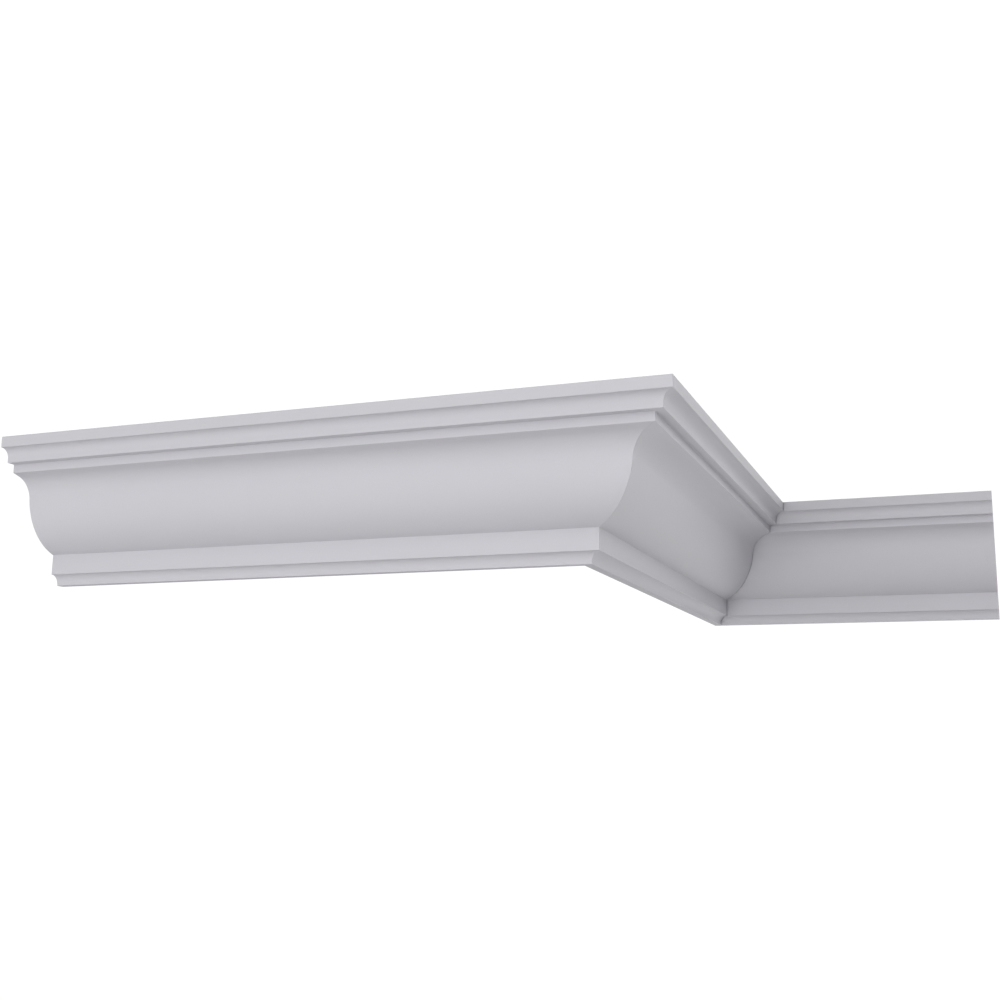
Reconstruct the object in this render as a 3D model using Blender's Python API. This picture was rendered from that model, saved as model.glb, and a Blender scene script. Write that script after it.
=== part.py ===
"""Cornice moulding that turns an outside and an inside corner, as three mitred lengths.

Metres, +Z up. The front length runs along +X with its wall behind it, at +Y. At the outside corner
the return length goes back along +Y, and at the inside corner the far length runs on along +X.
The origin is the centre of the front length's wall flat, the face that is glued to the wall.
"""

from math import ceil, atan2, cos, hypot, pi, radians, sin

import bmesh
import bpy
from mathutils import Matrix, Vector

# Lengths of the three runs, measured along the wall from corner to corner
FRONT_RUN = 0.500
RETURN_RUN = 0.500
FAR_RUN = 0.300

# Overall size of the section: down the wall, and out along the ceiling
DROP = 0.120
PROJECTION = 0.0942

# Top fascia, and the small cove under it
FASCIA_HEIGHT = 0.0096
FASCIA_LIP = 0.0013
UPPER_COVE_RADIUS = 0.0081
UPPER_FILLET_HEIGHT = 0.0037

# Fillet above the large ogee, set back under a flat soffit
SOFFIT_WIDTH = 0.0080
OGEE_FILLET_HEIGHT = 0.0073

# Large ogee: a flat splay at the top, a hollow that steepens to this angle, and a round below
SPLAY_LENGTH = 0.0078
SPLAY_ANGLE = radians(13.6)
HOLLOW_RADIUS = 0.0204
STEEPEST_ANGLE = radians(84.4)

# Flat band below the ogee, and the cove and foot under it
BAND_PROJECTION = 0.0169
BAND_HEIGHT = 0.0178
BAND_LIP = 0.0005
LOWER_COVE_RADIUS = 0.0081
FOOT_HEIGHT = 0.0011

# Flats at the back that are glued to the wall and to the ceiling
WALL_FLAT = 0.030
CEILING_FLAT = 0.028

# Joint left open between two mitred faces, and the longest flat facet on a curve
MITRE_GAP = 0.0003
LONGEST_FACET = 0.0012

# Primed white face, as the photograph shows it
PRIMER_COLOUR = (0.62, 0.61, 0.65, 1.0)
PRIMER_ROUGHNESS = 0.62

# Where the two wall corners stand, and how high the underside is
OUTSIDE_CORNER = Vector((FRONT_RUN / 2, 0.0))
INSIDE_CORNER = Vector((FRONT_RUN / 2, RETURN_RUN))
UNDERSIDE = -WALL_FLAT / 2

# A mitred end is sawn from stock that is longer than the mitre needs by this allowance
SAW_ALLOWANCE = 0.010
OVERLONG = PROJECTION + SAW_ALLOWANCE

# Cleaning of the extruded outline: points this close are one, and faces this near to flat are one
WELD_DISTANCE = 0.00001
FLAT_ANGLE = radians(0.1)

# Edges sharper than this stay crisp between smooth faces
ARRIS_ANGLE = radians(30)


def clear_scene():
    """Removes what the opened file holds."""
    for found in list(bpy.data.objects):
        bpy.data.objects.remove(found, do_unlink=True)


def new_collection(name):
    """A collection linked into the scene."""
    made = bpy.data.collections.new(name)
    bpy.context.scene.collection.children.link(made)
    return made


def primer(name):
    """Matt primer paint, one material for each length."""
    material = bpy.data.materials.new(name)
    material.use_nodes = True
    shader = material.node_tree.nodes["Principled BSDF"]
    shader.inputs["Base Color"].default_value = PRIMER_COLOUR
    shader.inputs["Roughness"].default_value = PRIMER_ROUGHNESS
    shader.inputs["Metallic"].default_value = 0.0
    material.diffuse_color = PRIMER_COLOUR
    return material


def arc(centre, radius, start, end):
    """Points along an arc about centre, its two ends among them; angles are from +projection."""
    count = max(2, ceil(radius * abs(end - start) / LONGEST_FACET))
    turns = [start + (end - start) * step / count for step in range(count + 1)]
    return [(centre[0] + radius * cos(turn), centre[1] + radius * sin(turn)) for turn in turns]


def cove(front, top, radius):
    """Quarter hollow that starts level at the front and ends upright, one radius in and down."""
    return arc((front, top - radius), radius, pi / 2, pi)


def ogee(front, top, back, foot):
    """Splay, hollow and round, each tangent to the next, from the upper front to the lower back."""
    splay_end = (front - SPLAY_LENGTH * cos(SPLAY_ANGLE), top - SPLAY_LENGTH * sin(SPLAY_ANGLE))
    hollow_centre = (
        splay_end[0] + HOLLOW_RADIUS * sin(SPLAY_ANGLE),
        splay_end[1] - HOLLOW_RADIUS * cos(SPLAY_ANGLE),
    )
    hollow = arc(hollow_centre, HOLLOW_RADIUS, pi / 2 + SPLAY_ANGLE, pi / 2 + STEEPEST_ANGLE)
    meet = hollow[-1]
    chord_in, chord_down = meet[0] - back, meet[1] - foot
    last_angle = 2 * atan2(chord_down, chord_in) - STEEPEST_ANGLE
    round_radius = hypot(chord_in, chord_down) / (2 * sin((STEEPEST_ANGLE - last_angle) / 2))
    round_centre = (
        meet[0] - round_radius * sin(STEEPEST_ANGLE),
        meet[1] + round_radius * cos(STEEPEST_ANGLE),
    )
    start, end = STEEPEST_ANGLE - pi / 2, last_angle - pi / 2
    return [(front, top)] + hollow + arc(round_centre, round_radius, start, end)[1:]


def section_outline():
    """The section, as (projection from the wall, height above the underside)."""
    fascia_foot = DROP - FASCIA_HEIGHT
    cove_front = PROJECTION - FASCIA_LIP
    fillet_front = cove_front - UPPER_COVE_RADIUS
    soffit = fascia_foot - UPPER_COVE_RADIUS - UPPER_FILLET_HEIGHT
    ogee_front = fillet_front - SOFFIT_WIDTH
    ogee_top = soffit - OGEE_FILLET_HEIGHT
    band_foot = FOOT_HEIGHT + LOWER_COVE_RADIUS
    band_top = band_foot + BAND_HEIGHT
    lower_cove_front = BAND_PROJECTION - BAND_LIP
    foot_front = lower_cove_front - LOWER_COVE_RADIUS
    outline = [(PROJECTION, DROP), (PROJECTION, fascia_foot)]
    outline += cove(cove_front, fascia_foot, UPPER_COVE_RADIUS)
    outline += [(fillet_front, soffit), (ogee_front, soffit)]
    outline += ogee(ogee_front, ogee_top, BAND_PROJECTION, band_top)
    outline += [(BAND_PROJECTION, band_foot)]
    outline += cove(lower_cove_front, band_foot, LOWER_COVE_RADIUS)
    outline += [(foot_front, 0.0), (0.0, 0.0), (0.0, WALL_FLAT), (PROJECTION - CEILING_FLAT, DROP)]
    return outline


def stock(name, start, end, collection):
    """A straight piece of the moulding with square ends, its wall flat on the line start to end."""
    curve = bpy.data.curves.new(name, "CURVE")
    curve.dimensions = "2D"
    curve.fill_mode = "BOTH"
    curve.extrude = (end - start).length / 2
    outline = section_outline()
    spline = curve.splines.new("POLY")
    spline.points.add(len(outline) - 1)
    for point, (projection, height) in zip(spline.points, outline):
        point.co = (projection, height, 0.0, 1.0)
    spline.use_cyclic_u = True
    drawn = bpy.data.objects.new(name + "_outline", curve)
    collection.objects.link(drawn)
    middle = (start + end) / 2
    direction = atan2(end.y - start.y, end.x - start.x)
    drawn.location = (middle.x, middle.y, UNDERSIDE)
    drawn.rotation_euler = (pi / 2, 0.0, direction - pi / 2)
    return solid_from(drawn, name, collection)


def solid_from(drawn, name, collection):
    """The extruded outline as a closed mesh object, in the same place; the curve is removed."""
    bpy.context.view_layer.update()
    evaluated = drawn.evaluated_get(bpy.context.evaluated_depsgraph_get())
    mesh = bpy.data.meshes.new_from_object(evaluated)
    mesh.name = name
    cage = bmesh.new()
    cage.from_mesh(mesh)
    bmesh.ops.remove_doubles(cage, verts=cage.verts, dist=WELD_DISTANCE)
    bmesh.ops.dissolve_limit(
        cage, angle_limit=FLAT_ANGLE, verts=cage.verts, edges=cage.edges, use_dissolve_boundaries=False
    )
    bmesh.ops.recalc_face_normals(cage, faces=cage.faces)
    cage.to_mesh(mesh)
    cage.free()
    made = bpy.data.objects.new(name, mesh)
    made.matrix_world = drawn.matrix_world
    collection.objects.link(made)
    bpy.data.objects.remove(drawn, do_unlink=True)
    return made


def mitre_saw(length, corner, side, collection):
    """Cuts the length back to the 45 degree mitre through a wall corner.

    Both mitres run from the wall out towards +X and -Y. side is 1 to saw off what lies beyond the
    mitre, on its +X +Y side, and -1 to saw off what lies on its other side. The saw takes half of
    the open joint too.
    """
    depth, width, height = 2 * OVERLONG, 4 * OVERLONG, DROP + 2 * SAW_ALLOWANCE
    normal = Vector((1.0, 1.0)).normalized() * side
    middle = corner + normal * (depth - MITRE_GAP) / 2
    bpy.ops.mesh.primitive_cube_add(size=1.0)
    saw = bpy.context.active_object
    saw.name = f"{length.name}_{'end' if side > 0 else 'start'}_saw"
    saw.data.transform(Matrix.Diagonal((depth, width, height, 1.0)))
    saw.location = (middle.x, middle.y, UNDERSIDE + DROP / 2)
    saw.rotation_euler = (0.0, 0.0, atan2(normal.y, normal.x))
    for holder in list(saw.users_collection):
        holder.objects.unlink(saw)
    collection.objects.link(saw)
    saw.hide_render = True
    saw.display_type = "WIRE"
    cut = length.modifiers.new("mitre", "BOOLEAN")
    cut.operation = "DIFFERENCE"
    cut.solver = "EXACT"
    cut.object = saw


def finish_length(length):
    """Smooth curves with crisp arrises, and its own coat of primer."""
    length.data.shade_smooth()
    length.data.set_sharp_from_angle(angle=ARRIS_ANGLE)
    length.data.materials.append(primer(length.name + "_primer"))


def front_length(lengths, saws):
    """The long run nearest the room: square at its open end, mitred at the outside corner."""
    open_end = OUTSIDE_CORNER - Vector((FRONT_RUN, 0.0))
    made = stock("front_length", open_end, OUTSIDE_CORNER + Vector((OVERLONG, 0.0)), lengths)
    mitre_saw(made, OUTSIDE_CORNER, 1, saws)
    finish_length(made)


def return_length(lengths, saws):
    """The run that goes back: outside mitre at its start, inside mitre at its end."""
    over = Vector((0.0, OVERLONG))
    made = stock("return_length", OUTSIDE_CORNER - over, INSIDE_CORNER + over, lengths)
    mitre_saw(made, OUTSIDE_CORNER, -1, saws)
    mitre_saw(made, INSIDE_CORNER, 1, saws)
    finish_length(made)


def far_length(lengths, saws):
    """The short run beyond: inside mitre at its start, cut square at its open end."""
    open_end = INSIDE_CORNER + Vector((FAR_RUN, 0.0))
    made = stock("far_length", INSIDE_CORNER - Vector((OVERLONG, 0.0)), open_end, lengths)
    mitre_saw(made, INSIDE_CORNER, -1, saws)
    finish_length(made)


def main():
    """Builds the three lengths and the saws that mitre them."""
    clear_scene()
    lengths = new_collection("cornice_moulding")
    saws = new_collection("cutters")
    front_length(lengths, saws)
    return_length(lengths, saws)
    far_length(lengths, saws)


main()
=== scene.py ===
"""Cornice moulding that turns two corners: the finished look of its three mitred lengths.

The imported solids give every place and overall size. Each length is drawn again here with eased
arrises and fine curves, and given its primed face, its sawn ends and its bare back.
"""

import logging
from dataclasses import dataclass, field
from enum import Enum
from math import atan2, ceil, cos, pi, radians, sin, tan

import bmesh
import bpy
from mathutils import Matrix, Vector


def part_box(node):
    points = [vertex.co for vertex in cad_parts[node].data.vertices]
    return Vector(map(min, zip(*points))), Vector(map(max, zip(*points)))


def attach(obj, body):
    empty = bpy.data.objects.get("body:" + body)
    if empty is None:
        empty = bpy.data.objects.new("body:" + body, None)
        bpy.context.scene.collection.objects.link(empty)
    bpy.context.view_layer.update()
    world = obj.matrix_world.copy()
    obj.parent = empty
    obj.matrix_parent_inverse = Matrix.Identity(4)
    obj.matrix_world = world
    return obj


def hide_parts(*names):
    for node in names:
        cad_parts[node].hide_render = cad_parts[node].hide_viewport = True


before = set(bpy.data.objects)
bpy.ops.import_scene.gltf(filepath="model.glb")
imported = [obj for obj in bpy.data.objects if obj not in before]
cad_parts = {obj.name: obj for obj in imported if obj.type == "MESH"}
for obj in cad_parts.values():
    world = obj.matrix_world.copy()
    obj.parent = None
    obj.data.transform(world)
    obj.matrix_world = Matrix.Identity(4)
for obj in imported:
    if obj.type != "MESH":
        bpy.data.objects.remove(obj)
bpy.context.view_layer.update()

LOG = logging.getLogger("cornice")
BODY = "root"
RUN_LAYER = "along_round"


class Zone(Enum):
    """Which finish a stretch of the surface carries; the value is its material slot."""

    FACE = 0
    BACK = 1
    SAWN = 2


class Cut(Enum):
    """How an end is sawn.

    The values are how far the cut leans along the run for each metre out, and how wide the joint
    with the next length is.
    """

    SQUARE = (0.0, 0.0)
    OUTSIDE_MITRE = (1.0, 0.00006)
    INSIDE_MITRE = (-1.0, 0.00060)

    def __init__(self, lean: float, joint: float) -> None:
        """Keeps the two values under their names."""
        self.lean = lean
        self.joint = joint

    def reach(self, out: float) -> float:
        """How far past the wall corner the cut lies, at this distance out from the wall."""
        return self.lean * out - self.joint / 2**0.5


@dataclass(frozen=True)
class Corner:
    """A point of the section, out from the wall and up from the underside."""

    out: float
    up: float
    ease: float = 0.0
    zone: Zone = Zone.FACE

    @property
    def place(self) -> Vector:
        """The point as a plane vector."""
        return Vector((self.out, self.up))


@dataclass
class Section:
    """The moulding's section: its members from the ceiling down, in metres.

    The fields from facet on say how it is drawn: the longest facet of a curve, how far arrises and
    creases are eased, the share of a flat that an easing may take, the most that it turns in one
    step, and how near an eased arris a flat is held, if it is long enough.
    """

    drop: float
    projection: float
    fascia_height: float = 0.0096
    fascia_lip: float = 0.0013
    upper_cove_radius: float = 0.0081
    upper_fillet_height: float = 0.0037
    soffit_width: float = 0.0080
    ogee_fillet_height: float = 0.0073
    splay_length: float = 0.0078
    splay_angle: float = radians(13.6)
    hollow_radius: float = 0.0204
    steepest_angle: float = radians(84.4)
    band_projection: float = 0.0169
    band_height: float = 0.0178
    band_lip: float = 0.0005
    lower_cove_radius: float = 0.0081
    foot_height: float = 0.0011
    wall_flat: float = 0.030
    ceiling_flat: float = 0.028
    facet: float = 0.0005
    arris: float = 0.00040
    crease: float = 0.00030
    ease_share: float = 0.45
    ease_turn: float = radians(22)
    hold: float = 0.00030
    held_flat: float = 0.0018

    def arc(self, centre: Vector, radius: float, start: float, end: float) -> list[Corner]:
        """Points along an arc of the face.

        Args:
            centre: The arc's centre, out and up.
            radius: Its radius.
            start: Angle of its first point, from straight out.
            end: Angle of its last point.

        Returns:
            The points in order, both ends among them.
        """
        count = max(3, ceil(radius * abs(end - start) / self.facet))
        turns = [start + (end - start) * step / count for step in range(count + 1)]
        return [Corner(centre.x + radius * cos(turn), centre.y + radius * sin(turn)) for turn in turns]

    def cove(self, front: float, top: float, radius: float) -> list[Corner]:
        """Quarter hollow from level at the front to upright, one radius in and down."""
        return self.arc(Vector((front, top - radius)), radius, pi / 2, pi)

    def ogee(self, front: float, top: float, foot: float) -> list[Corner]:
        """The splay, the hollow and the round, each tangent to the next.

        Args:
            front: How far out the splay starts.
            top: Its height there.
            foot: Height of the band's top edge, where the round ends.

        Returns:
            The points from the upper front to the lower back.
        """
        splay, steep = self.splay_angle, self.steepest_angle
        splay_end = Vector((front, top)) - Vector((cos(splay), sin(splay))) * self.splay_length
        middle = splay_end + Vector((sin(splay), -cos(splay))) * self.hollow_radius
        hollow = self.arc(middle, self.hollow_radius, pi / 2 + splay, pi / 2 + steep)
        meet = hollow[-1].place
        chord = meet - Vector((self.band_projection, foot))
        last = 2 * atan2(chord.y, chord.x) - steep
        radius = chord.length / (2 * sin((steep - last) / 2))
        centre = meet + Vector((-sin(steep), cos(steep))) * radius
        return [Corner(front, top), *hollow, *self.arc(centre, radius, steep - pi / 2, last - pi / 2)[1:]]

    def corners(self) -> list[Corner]:
        """The section's outline before its arrises are eased, from the ceiling's front edge down."""
        fascia_foot = self.drop - self.fascia_height
        cove_front = self.projection - self.fascia_lip
        fillet_front = cove_front - self.upper_cove_radius
        soffit = fascia_foot - self.upper_cove_radius - self.upper_fillet_height
        ogee_front = fillet_front - self.soffit_width
        ogee_top = soffit - self.ogee_fillet_height
        band_foot = self.foot_height + self.lower_cove_radius
        band_top = band_foot + self.band_height
        lower_front = self.band_projection - self.band_lip
        upper_cove = self.cove(cove_front, fascia_foot, self.upper_cove_radius)
        ogee = self.ogee(ogee_front, ogee_top, band_top)
        lower_cove = self.cove(lower_front, band_foot, self.lower_cove_radius)
        return [
            Corner(self.projection, self.drop, self.arris),
            Corner(self.projection, fascia_foot, self.arris),
            *self.eased_ends(upper_cove, self.arris, 0.0),
            Corner(fillet_front, soffit, self.arris),
            Corner(ogee_front, soffit, self.crease),
            *self.eased_ends(ogee, self.arris, self.crease),
            Corner(self.band_projection, band_foot, self.arris),
            *self.eased_ends(lower_cove, self.arris, 0.0),
            Corner(lower_front - self.lower_cove_radius, 0.0, self.arris),
            Corner(0.0, 0.0, self.arris, Zone.BACK),
            Corner(0.0, self.wall_flat, self.arris, Zone.BACK),
            Corner(self.projection - self.ceiling_flat, self.drop, self.arris, Zone.BACK),
        ]

    @staticmethod
    def eased_ends(run: list[Corner], first: float, last: float) -> list[Corner]:
        """The run again, with its two end points marked to be eased by these radii."""
        head, tail = run[0], run[-1]
        return [Corner(head.out, head.up, first), *run[1:-1], Corner(tail.out, tail.up, last)]

    def outline(self) -> list[Corner]:
        """The whole outline with its arrises eased and its flats held flat beside them."""
        corners = self.corners()
        points: list[Corner] = []
        for index, corner in enumerate(corners):
            before, after = corners[index - 1], corners[(index + 1) % len(corners)]
            points += self.eased(before, corner, after)
        return points

    def eased(self, before: Corner, corner: Corner, after: Corner) -> list[Corner]:
        """One corner rounded over, with a holding point where a flat runs up to it.

        Args:
            before: The corner before it.
            corner: The corner itself; the zone it carries starts here.
            after: The corner after it.

        Returns:
            The points that take its place.
        """
        if corner.ease == 0.0:
            return [corner]
        inward, onward = before.place - corner.place, after.place - corner.place
        turn = pi - inward.angle(onward)
        room = self.ease_share * min(inward.length, onward.length)
        reach = min(corner.ease * tan(turn / 2), room)
        start = corner.place + inward.normalized() * reach
        end = corner.place + onward.normalized() * reach
        steps = max(2, ceil(turn / self.ease_turn))
        weight = cos(turn / 2)
        placed: list[Corner] = []
        if inward.length > self.held_flat:
            held = start + inward.normalized() * self.hold
            placed.append(Corner(held.x, held.y, zone=before.zone))
        for step in range(steps + 1):
            share = step / steps
            terms = ((1 - share) ** 2, 2 * share * (1 - share) * weight, share**2)
            point = (start * terms[0] + corner.place * terms[1] + end * terms[2]) / sum(terms)
            zone = corner.zone if step == steps else before.zone
            placed.append(Corner(point.x, point.y, zone=zone))
        if onward.length > self.held_flat:
            held = end + onward.normalized() * self.hold
            placed.append(Corner(held.x, held.y, zone=corner.zone))
        return placed


@dataclass(frozen=True)
class NodeGroups:
    """The effects that every finish shares, each a shader node group built once."""

    grain: bpy.types.NodeTree
    mottle_and_shade: bpy.types.NodeTree

    @staticmethod
    def add_input(tree: bpy.types.NodeTree, name: str, kind: str, value: float | None = None) -> None:
        """Adds an input to a group.

        Args:
            tree: The group.
            name: The input's name.
            kind: Its socket type.
            value: What a plain number starts from.
        """
        made = tree.interface.new_socket(name, in_out="INPUT", socket_type=kind)
        if value is not None:
            made.default_value = value

    @staticmethod
    def add_output(tree: bpy.types.NodeTree, name: str, kind: str) -> None:
        """Adds an output to a group."""
        tree.interface.new_socket(name, in_out="OUTPUT", socket_type=kind)

    @classmethod
    def build(cls) -> "NodeGroups":
        """Both groups, ready to place."""
        return cls(cls.build_grain(), cls.build_mottle_and_shade())

    @classmethod
    def build_grain(cls) -> bpy.types.NodeTree:
        """Height of a sprayed coat's fine dimples over long faint draw lines."""
        tree = bpy.data.node_groups.new("surface_grain", "ShaderNodeTree")
        cls.add_input(tree, "Place", "NodeSocketVector")
        cls.add_input(tree, "Along Run", "NodeSocketVector")
        cls.add_input(tree, "Dimple Scale", "NodeSocketFloat", 900.0)
        cls.add_input(tree, "Dimple Share", "NodeSocketFloat", 0.7)
        cls.add_input(tree, "Line Share", "NodeSocketFloat", 0.3)
        cls.add_output(tree, "Height", "NodeSocketFloat")
        nodes, links = tree.nodes, tree.links
        entry, leave = nodes.new("NodeGroupInput"), nodes.new("NodeGroupOutput")
        dimples = nodes.new("ShaderNodeTexNoise")
        dimples.inputs["Detail"].default_value = 2.0
        dimples.inputs["Roughness"].default_value = 0.45
        lines = nodes.new("ShaderNodeTexNoise")
        lines.inputs["Scale"].default_value = 1.0
        lines.inputs["Detail"].default_value = 3.0
        dimple_part, line_part, both = (nodes.new("ShaderNodeMath") for _ in range(3))
        dimple_part.operation = line_part.operation = "MULTIPLY"
        both.operation = "ADD"
        links.new(entry.outputs["Place"], dimples.inputs["Vector"])
        links.new(entry.outputs["Dimple Scale"], dimples.inputs["Scale"])
        links.new(entry.outputs["Along Run"], lines.inputs["Vector"])
        links.new(dimples.outputs["Fac"], dimple_part.inputs[0])
        links.new(entry.outputs["Dimple Share"], dimple_part.inputs[1])
        links.new(lines.outputs["Fac"], line_part.inputs[0])
        links.new(entry.outputs["Line Share"], line_part.inputs[1])
        links.new(dimple_part.outputs[0], both.inputs[0])
        links.new(line_part.outputs[0], both.inputs[1])
        links.new(both.outputs[0], leave.inputs["Height"])
        return tree

    @classmethod
    def build_mottle_and_shade(cls) -> bpy.types.NodeTree:
        """Slow drift of tone over the coat, painted shade where it is closed in, and its roughness."""
        tree = bpy.data.node_groups.new("coat_mottle_and_shade", "ShaderNodeTree")
        cls.add_input(tree, "Place", "NodeSocketVector")
        cls.add_input(tree, "Patch Scale", "NodeSocketFloat", 14.0)
        cls.add_input(tree, "Thin Coat", "NodeSocketColor")
        cls.add_input(tree, "Full Coat", "NodeSocketColor")
        cls.add_input(tree, "Painted Shade Coat", "NodeSocketColor")
        cls.add_input(tree, "Open Share", "NodeSocketFloat", 1.0)
        cls.add_input(tree, "Smooth", "NodeSocketFloat", 0.55)
        cls.add_input(tree, "Rough", "NodeSocketFloat", 0.70)
        cls.add_output(tree, "Colour", "NodeSocketColor")
        cls.add_output(tree, "Roughness", "NodeSocketFloat")
        nodes, links = tree.nodes, tree.links
        entry, leave = nodes.new("NodeGroupInput"), nodes.new("NodeGroupOutput")
        patches = nodes.new("ShaderNodeTexNoise")
        patches.inputs["Detail"].default_value = 4.0
        patches.inputs["Roughness"].default_value = 0.55
        colour, painted_shade = nodes.new("ShaderNodeMix"), nodes.new("ShaderNodeMix")
        colour.data_type = painted_shade.data_type = "RGBA"
        spread = nodes.new("ShaderNodeMapRange")
        links.new(entry.outputs["Place"], patches.inputs["Vector"])
        links.new(entry.outputs["Patch Scale"], patches.inputs["Scale"])
        links.new(patches.outputs["Fac"], colour.inputs["Factor"])
        links.new(entry.outputs["Thin Coat"], colour.inputs["A"])
        links.new(entry.outputs["Full Coat"], colour.inputs["B"])
        links.new(patches.outputs["Fac"], spread.inputs["Value"])
        links.new(entry.outputs["Smooth"], spread.inputs["To Min"])
        links.new(entry.outputs["Rough"], spread.inputs["To Max"])
        # painted shade: the colour is mixed towards the darker shade coat where the surface is closed in
        links.new(entry.outputs["Open Share"], painted_shade.inputs["Factor"])
        links.new(entry.outputs["Painted Shade Coat"], painted_shade.inputs["A"])
        links.new(colour.outputs["Result"], painted_shade.inputs["B"])
        links.new(painted_shade.outputs["Result"], leave.inputs["Colour"])
        links.new(spread.outputs["Result"], leave.inputs["Roughness"])
        return tree


@dataclass(frozen=True)
class Finish:
    """One finish of the moulding: its tones, gloss and surface.

    The tone drifts between the thin and the full coat, and is painted darker, towards the painted shade
    coat, where other faces close the surface in within the recess reach: painted shade in creases and
    corners.
    """

    name: str
    thin_coat: tuple[float, float, float]
    full_coat: tuple[float, float, float]
    # painted shade: the darker tone given where other faces close the surface in
    painted_shade_coat: tuple[float, float, float]
    smooth: float
    rough: float
    patch_scale: float
    dimple_scale: float
    dimple_share: float
    line_share: float
    line_stretch: tuple[float, float, float]
    relief: float
    recess_reach: float = 0.014
    refraction: float = 1.45

    def material(self, groups: NodeGroups) -> bpy.types.Material:
        """The finish as a material.

        Args:
            groups: The shared effects.

        Returns:
            A Principled material with this finish's own values.
        """
        made = bpy.data.materials.new(self.name)
        made.use_nodes = True
        nodes, links = made.node_tree.nodes, made.node_tree.links
        shader = nodes["Principled BSDF"]
        shader.inputs["Metallic"].default_value = 0.0
        shader.inputs["IOR"].default_value = self.refraction
        place = nodes.new("ShaderNodeTexCoord")
        along = nodes.new("ShaderNodeAttribute")
        along.attribute_name = RUN_LAYER
        stretch = nodes.new("ShaderNodeMapping")
        stretch.inputs["Scale"].default_value = self.line_stretch
        mottle_and_shade, grain = nodes.new("ShaderNodeGroup"), nodes.new("ShaderNodeGroup")
        mottle_and_shade.node_tree, grain.node_tree = groups.mottle_and_shade, groups.grain
        mottle_and_shade.inputs["Patch Scale"].default_value = self.patch_scale
        mottle_and_shade.inputs["Thin Coat"].default_value = (*self.thin_coat, 1.0)
        mottle_and_shade.inputs["Full Coat"].default_value = (*self.full_coat, 1.0)
        mottle_and_shade.inputs["Painted Shade Coat"].default_value = (*self.painted_shade_coat, 1.0)
        mottle_and_shade.inputs["Smooth"].default_value = self.smooth
        mottle_and_shade.inputs["Rough"].default_value = self.rough
        grain.inputs["Dimple Scale"].default_value = self.dimple_scale
        grain.inputs["Dimple Share"].default_value = self.dimple_share
        grain.inputs["Line Share"].default_value = self.line_share
        # painted shade: ambient occlusion within the recess reach darkens the base colour in creases,
        # recesses and the inside corner
        openness = nodes.new("ShaderNodeAmbientOcclusion")
        openness.inputs["Distance"].default_value = self.recess_reach
        bump = nodes.new("ShaderNodeBump")
        bump.inputs["Strength"].default_value = 1.0
        bump.inputs["Distance"].default_value = self.relief
        links.new(place.outputs["Object"], mottle_and_shade.inputs["Place"])
        links.new(openness.outputs["AO"], mottle_and_shade.inputs["Open Share"])
        links.new(place.outputs["Object"], grain.inputs["Place"])
        links.new(along.outputs["Vector"], stretch.inputs["Vector"])
        links.new(stretch.outputs["Vector"], grain.inputs["Along Run"])
        links.new(mottle_and_shade.outputs["Colour"], shader.inputs["Base Color"])
        links.new(mottle_and_shade.outputs["Roughness"], shader.inputs["Roughness"])
        links.new(grain.outputs["Height"], bump.inputs["Height"])
        links.new(bump.outputs["Normal"], shader.inputs["Normal"])
        return made


PRIMED_FACE = Finish(
    name="primed_face",
    thin_coat=(0.602, 0.596, 0.633),
    full_coat=(0.632, 0.626, 0.664),
    # painted shade tone for creases, recesses and the inside corner
    painted_shade_coat=(0.543, 0.538, 0.571),
    smooth=0.58,
    rough=0.68,
    patch_scale=9.0,
    dimple_scale=850.0,
    dimple_share=0.6,
    line_share=0.4,
    line_stretch=(6.0, 420.0, 1.0),
    relief=0.00004,
)
BARE_BACK = Finish(
    name="bare_back",
    thin_coat=(0.560, 0.553, 0.575),
    full_coat=(0.620, 0.613, 0.638),
    # painted shade tone for creases, recesses and the inside corner
    painted_shade_coat=(0.520, 0.514, 0.536),
    smooth=0.72,
    rough=0.86,
    patch_scale=26.0,
    dimple_scale=420.0,
    dimple_share=0.9,
    line_share=0.1,
    line_stretch=(6.0, 120.0, 1.0),
    relief=0.00014,
)
SAWN_END = Finish(
    name="sawn_end",
    thin_coat=(0.590, 0.584, 0.606),
    full_coat=(0.650, 0.645, 0.666),
    # painted shade tone for creases, recesses and the inside corner
    painted_shade_coat=(0.545, 0.540, 0.560),
    smooth=0.74,
    rough=0.88,
    patch_scale=60.0,
    dimple_scale=1300.0,
    dimple_share=0.8,
    line_share=0.2,
    line_stretch=(60.0, 900.0, 1.0),
    relief=0.00012,
)


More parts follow.
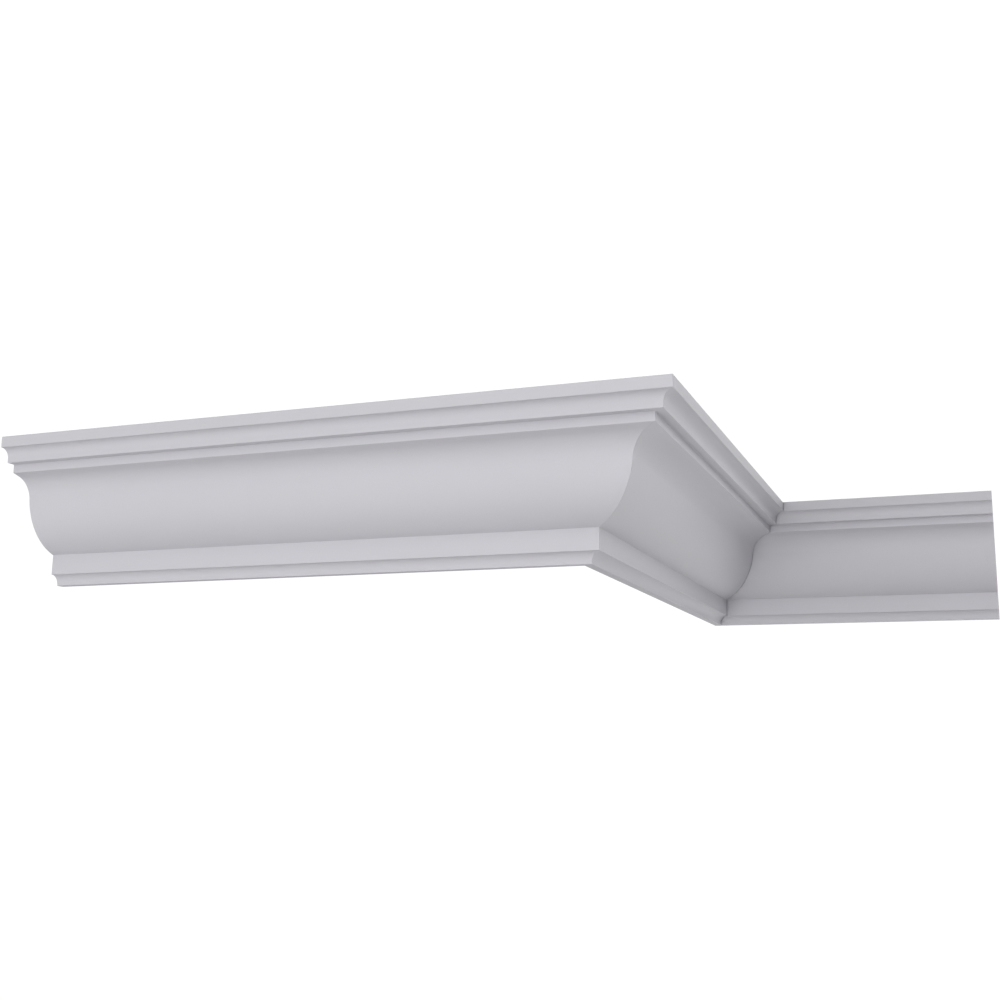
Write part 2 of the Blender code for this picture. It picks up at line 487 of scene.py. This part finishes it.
@dataclass
class MouldingLength:
    """One mitred length of the moulding, which stands for the solid of the same name."""

    node: str
    start: Vector
    run: float
    heading: float
    start_cut: Cut
    end_cut: Cut
    section: Section
    underside: float
    ring_spacing: float = 0.020
    sharp_from: float = radians(35)

    def ends_at(self, out: float) -> tuple[float, float]:
        """Where the two sawn ends lie along the run, at this distance out from the wall."""
        return -self.start_cut.reach(out), self.run + self.end_cut.reach(out)

    def build(self) -> bpy.types.Object:
        """The length as a closed mesh in the frame, ring by ring along its run."""
        outline = self.section.outline()
        rings = max(2, ceil(self.run / self.ring_spacing))
        shape = bmesh.new()
        along_round = shape.verts.layers.float_vector.new(RUN_LAYER)
        girths = [0.0]
        for near, far in zip(outline, outline[1:]):
            girths.append(girths[-1] + (far.place - near.place).length)
        loops: list[list[bmesh.types.BMVert]] = []
        for ring in range(rings + 1):
            loop = []
            for point, girth in zip(outline, girths):
                first, last = self.ends_at(point.out)
                along = first + (last - first) * ring / rings
                vert = shape.verts.new((along, -point.out, point.up))
                vert[along_round] = Vector((along, girth, 0.0))
                loop.append(vert)
            loops.append(loop)
        count = len(outline)
        for near, far in zip(loops, loops[1:]):
            for index in range(count):
                following = (index + 1) % count
                face = shape.faces.new((near[index], far[index], far[following], near[following]))
                face.material_index = outline[index].zone.value
                face.smooth = True
        for loop in (loops[0], loops[-1]):
            cap = shape.faces.new(loop)
            cap.material_index = Zone.SAWN.value
        bmesh.ops.recalc_face_normals(shape, faces=shape.faces)
        mesh = bpy.data.meshes.new(self.node + "_finished")
        placing = Matrix.Translation((self.start.x, self.start.y, self.underside))
        shape.transform(placing @ Matrix.Rotation(self.heading, 4, "Z"))
        shape.to_mesh(mesh)
        shape.free()
        mesh.set_sharp_from_angle(angle=self.sharp_from)
        made = bpy.data.objects.new(self.node + "_finished", mesh)
        bpy.context.scene.collection.objects.link(made)
        return made

    def dress(self, made: bpy.types.Object, finishes: dict[Zone, bpy.types.Material]) -> None:
        """Gives each zone of the length its finish.

        Args:
            made: The length's object.
            finishes: A material for each zone.
        """
        for zone in Zone:
            made.data.materials.append(finishes[zone])

    def register(self, made: bpy.types.Object) -> None:
        """Puts the length in the place of its solid."""
        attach(made, BODY)
        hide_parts(self.node)


@dataclass
class Cornice:
    """The whole moulding: three lengths round an outside and an inside corner."""

    finishes: dict[Zone, bpy.types.Material]
    lengths: list[MouldingLength] = field(default_factory=list)

    def plan(self) -> None:
        """Reads the runs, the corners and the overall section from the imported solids."""
        front_low, front_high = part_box("front_length")
        return_low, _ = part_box("return_length")
        _, far_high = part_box("far_length")
        section = Section(drop=front_high.z - front_low.z, projection=-front_low.y)
        opening = Vector((front_low.x, front_high.y))
        outside = Vector((return_low.x, front_high.y))
        inside = Vector((return_low.x, far_high.y))
        runs = (
            ("front_length", opening, outside.x - opening.x, 0.0, Cut.SQUARE, Cut.OUTSIDE_MITRE),
            ("return_length", outside, inside.y - outside.y, pi / 2, Cut.OUTSIDE_MITRE, Cut.INSIDE_MITRE),
            ("far_length", inside, far_high.x - inside.x, 0.0, Cut.INSIDE_MITRE, Cut.SQUARE),
        )
        self.lengths = [MouldingLength(*run, section=section, underside=front_low.z) for run in runs]

    def build(self) -> list[bpy.types.Object]:
        """Builds, dresses and registers each length, and gives back their objects."""
        pieces = []
        for length in self.lengths:
            made = length.build()
            length.dress(made, self.finishes)
            length.register(made)
            pieces.append(made)
        return pieces


@dataclass(frozen=True)
class Viewpoint:
    """The photograph's camera, in the part's frame."""

    place: tuple[float, float, float] = (0.54353, -0.95002, -0.15681)
    yaw: float = radians(21.531)
    pitch: float = radians(11.709)
    roll: float = radians(0.795)
    focal_pixels: float = 1283.9
    centre_pixel: tuple[float, float] = (488.59, 484.40)
    frame_pixels: float = 1000.0
    sensor: float = 36.0
    nearest: float = 0.01
    farthest: float = 100.0

    def build(self) -> bpy.types.Object:
        """The camera, made the scene's own."""
        data = bpy.data.cameras.new("photo_camera")
        data.sensor_width = self.sensor
        data.lens = self.focal_pixels / self.frame_pixels * self.sensor
        data.shift_x = 0.5 - self.centre_pixel[0] / self.frame_pixels
        data.shift_y = self.centre_pixel[1] / self.frame_pixels - 0.5
        data.clip_start, data.clip_end = self.nearest, self.farthest
        made = bpy.data.objects.new("photo_camera", data)
        turn = Matrix.Rotation(self.yaw, 4, "Z") @ Matrix.Rotation(pi / 2 + self.pitch, 4, "X")
        made.matrix_world = Matrix.Translation(self.place) @ turn @ Matrix.Rotation(self.roll, 4, "Z")
        bpy.context.scene.collection.objects.link(made)
        bpy.context.scene.camera = made
        return made


@dataclass(frozen=True)
class SoftLamp:
    """A large soft lamp, aimed at the middle of the moulding.

    Its azimuth is 0 in the room straight before the front length and grows towards +X.
    """

    name: str
    azimuth: float
    elevation: float
    distance: float
    size: float
    watts: float
    aim: tuple[float, float, float] = (0.12, 0.18, 0.04)

    def build(self) -> bpy.types.Object:
        """The lamp as a square area light that the camera doesn't see."""
        level = cos(self.elevation)
        away = Vector((sin(self.azimuth) * level, -cos(self.azimuth) * level, sin(self.elevation)))
        data = bpy.data.lights.new(self.name, "AREA")
        data.shape = "SQUARE"
        data.size = self.size
        data.energy = self.watts
        made = bpy.data.objects.new(self.name, data)
        made.location = Vector(self.aim) + away * self.distance
        made.rotation_euler = away.to_track_quat("Z", "Y").to_euler()
        made.visible_camera = False
        bpy.context.scene.collection.objects.link(made)
        return made


@dataclass
class Studio:
    """Plain white surroundings: an even sky, a pale floor far below and soft lamps.

    The camera sees the sky and the floor in even tones, brighter than they light the moulding. The
    floor fades into the sky between the two distances from its middle.
    """

    sky_light: float = 0.184
    sky_white: float = 1.05
    floor_drop: float = 2.4
    floor_size: float = 12.0
    floor_paint: float = 0.93
    floor_rough: float = 0.9
    floor_tone: float = 0.80
    fade_start: float = 1.5
    fade_end: float = 5.8
    lamps: tuple[SoftLamp, ...] = (
        SoftLamp("room_softbox", radians(-20), radians(-10), 2.2, 2.4, 23.4),
        SoftLamp("low_softbox", radians(-10), radians(-30), 2.2, 2.4, 9.2),
        SoftLamp("high_softbox", radians(-10), radians(30), 2.2, 2.4, 5.3),
        SoftLamp("fill_softbox", radians(45), radians(15), 1.4, 0.98, 4.6),
        SoftLamp("side_softbox", radians(135), radians(10), 2.2, 2.2, 22.9),
        SoftLamp("back_softbox", radians(160), radians(-15), 2.2, 2.2, 18.4),
        SoftLamp("rear_softbox", radians(215), radians(50), 2.2, 1.6, 18.0),
    )

    def build(self) -> None:
        """Sky, floor, lamps and the tone of the picture."""
        bpy.context.scene.view_settings.view_transform = "Standard"
        self.build_sky()
        self.build_floor()
        for lamp in self.lamps:
            lamp.build()

    def build_sky(self) -> None:
        """An even white sky."""
        world = bpy.data.worlds.new("studio_sky")
        world.use_nodes = True
        nodes, links = world.node_tree.nodes, world.node_tree.links
        sky = nodes["Background"]
        sky.inputs["Color"].default_value = (1.0, 1.0, 1.0, 1.0)
        path, strength = nodes.new("ShaderNodeLightPath"), nodes.new("ShaderNodeMapRange")
        strength.inputs["To Min"].default_value = self.sky_light
        strength.inputs["To Max"].default_value = self.sky_white
        links.new(path.outputs["Is Camera Ray"], strength.inputs["Value"])
        links.new(strength.outputs["Result"], sky.inputs["Strength"])
        bpy.context.scene.world = world

    def build_floor(self) -> None:
        """The room's floor, plain and pale, a storey below the cornice."""
        bpy.ops.mesh.primitive_plane_add(size=self.floor_size, location=(0.0, 0.0, -self.floor_drop))
        floor = bpy.context.active_object
        floor.name = "studio_floor"
        paint = bpy.data.materials.new("studio_floor")
        paint.use_nodes = True
        nodes, links = paint.node_tree.nodes, paint.node_tree.links
        matt, tone = nodes["Principled BSDF"], nodes.new("ShaderNodeEmission")
        matt.inputs["Base Color"].default_value = (*[self.floor_paint] * 3, 1.0)
        matt.inputs["Roughness"].default_value = self.floor_rough
        place, away = nodes.new("ShaderNodeTexCoord"), nodes.new("ShaderNodeVectorMath")
        away.operation = "LENGTH"
        fade = nodes.new("ShaderNodeMapRange")
        fade.interpolation_type = "SMOOTHSTEP"
        fade.inputs["From Min"].default_value = self.fade_start
        fade.inputs["From Max"].default_value = self.fade_end
        fade.inputs["To Min"].default_value = self.floor_tone
        fade.inputs["To Max"].default_value = self.sky_white
        path, choice = nodes.new("ShaderNodeLightPath"), nodes.new("ShaderNodeMixShader")
        links.new(place.outputs["Object"], away.inputs[0])
        links.new(away.outputs["Value"], fade.inputs["Value"])
        links.new(fade.outputs["Result"], tone.inputs["Strength"])
        links.new(path.outputs["Is Camera Ray"], choice.inputs["Fac"])
        links.new(matt.outputs["BSDF"], choice.inputs[1])
        links.new(tone.outputs["Emission"], choice.inputs[2])
        links.new(choice.outputs["Shader"], nodes["Material Output"].inputs["Surface"])
        floor.data.materials.append(paint)


def main() -> None:
    """Builds the camera, the studio and the moulding, in that order."""
    logging.basicConfig(level=logging.INFO, format="%(name)s %(message)s")
    Viewpoint().build()
    Studio().build()
    groups = NodeGroups.build()
    finishes = {
        Zone.FACE: PRIMED_FACE.material(groups),
        Zone.BACK: BARE_BACK.material(groups),
        Zone.SAWN: SAWN_END.material(groups),
    }
    cornice = Cornice(finishes)
    cornice.plan()
    for piece in cornice.build():
        LOG.info("%s: %d faces", piece.name, len(piece.data.polygons))


if __name__ == "__main__":
    main()
